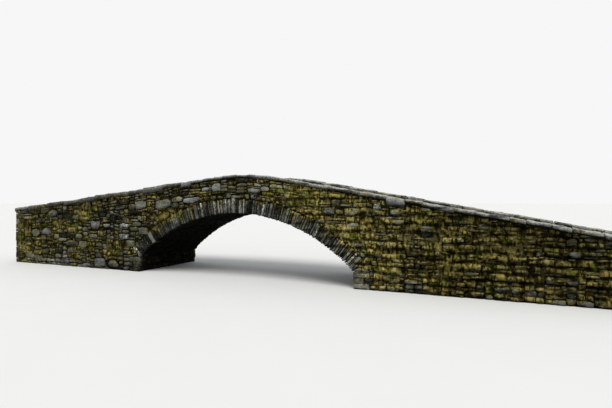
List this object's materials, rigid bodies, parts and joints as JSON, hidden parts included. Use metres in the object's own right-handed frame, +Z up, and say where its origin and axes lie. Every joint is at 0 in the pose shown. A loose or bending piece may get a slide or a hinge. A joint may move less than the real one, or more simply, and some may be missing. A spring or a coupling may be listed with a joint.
{
  "type": "packhorse bridge",
  "caption": "Humpbacked dry-stone rubble bridge: low segmental arch, spandrel and wing walls, sloping approaches, low parapets with flat coping slabs.",
  "frame": {"origin": "middle of the footprint, on the level floor that the walls stand on", "axes": "+X along the road to the right as seen from the front, +Y from the front face to the back face, +Z up"},
  "size_m": [26.72, 3.92, 4.0186],
  "materials": {
    "rubble": "matte",
    "arch_stone": "matte",
    "coping_stone": "matte",
    "road_gravel": "matte",
    "fill": "matte"
  },
  "bodies": {
    "root": {"abutment_left": "rubble", "haunch_fill_left": "fill", "ramp_fill_left": "fill", "end_wall_left": "rubble", "abutment_right": "rubble", "haunch_fill_right": "fill", "ramp_fill_right": "fill", "end_wall_right": "rubble", "vault_left": "arch_stone", "road_left": "road_gravel", "vault_crown": "arch_stone", "road_crown": "road_gravel", "vault_right": "arch_stone", "road_right": "road_gravel", "spandrel_front_left": "rubble", "wing_wall_front_left": "rubble", "spandrel_front_right": "rubble", "wing_wall_front_right": "rubble", "arch_ring_front_left": "arch_stone", "parapet_front_left": "rubble", "arch_ring_front_crown": "arch_stone", "parapet_front_crown": "rubble", "arch_ring_front_right": "arch_stone", "parapet_front_right": "rubble", "coping_front_left": "coping_stone", "coping_front_crown": "coping_stone", "coping_front_right": "coping_stone", "coping_front_block": "coping_stone", "coping_front_right_end": "coping_stone", "spandrel_back_left": "rubble", "wing_wall_back_left": "rubble", "spandrel_back_right": "rubble", "wing_wall_back_right": "rubble", "arch_ring_back_left": "arch_stone", "parapet_back_left": "rubble", "arch_ring_back_crown": "arch_stone", "parapet_back_crown": "rubble", "arch_ring_back_right": "arch_stone", "parapet_back_right": "rubble", "coping_back_left": "coping_stone", "coping_back_crown": "coping_stone", "coping_back_right": "coping_stone", "coping_back_block": "coping_stone", "coping_back_right_end": "coping_stone"}
  },
  "joints": []
}
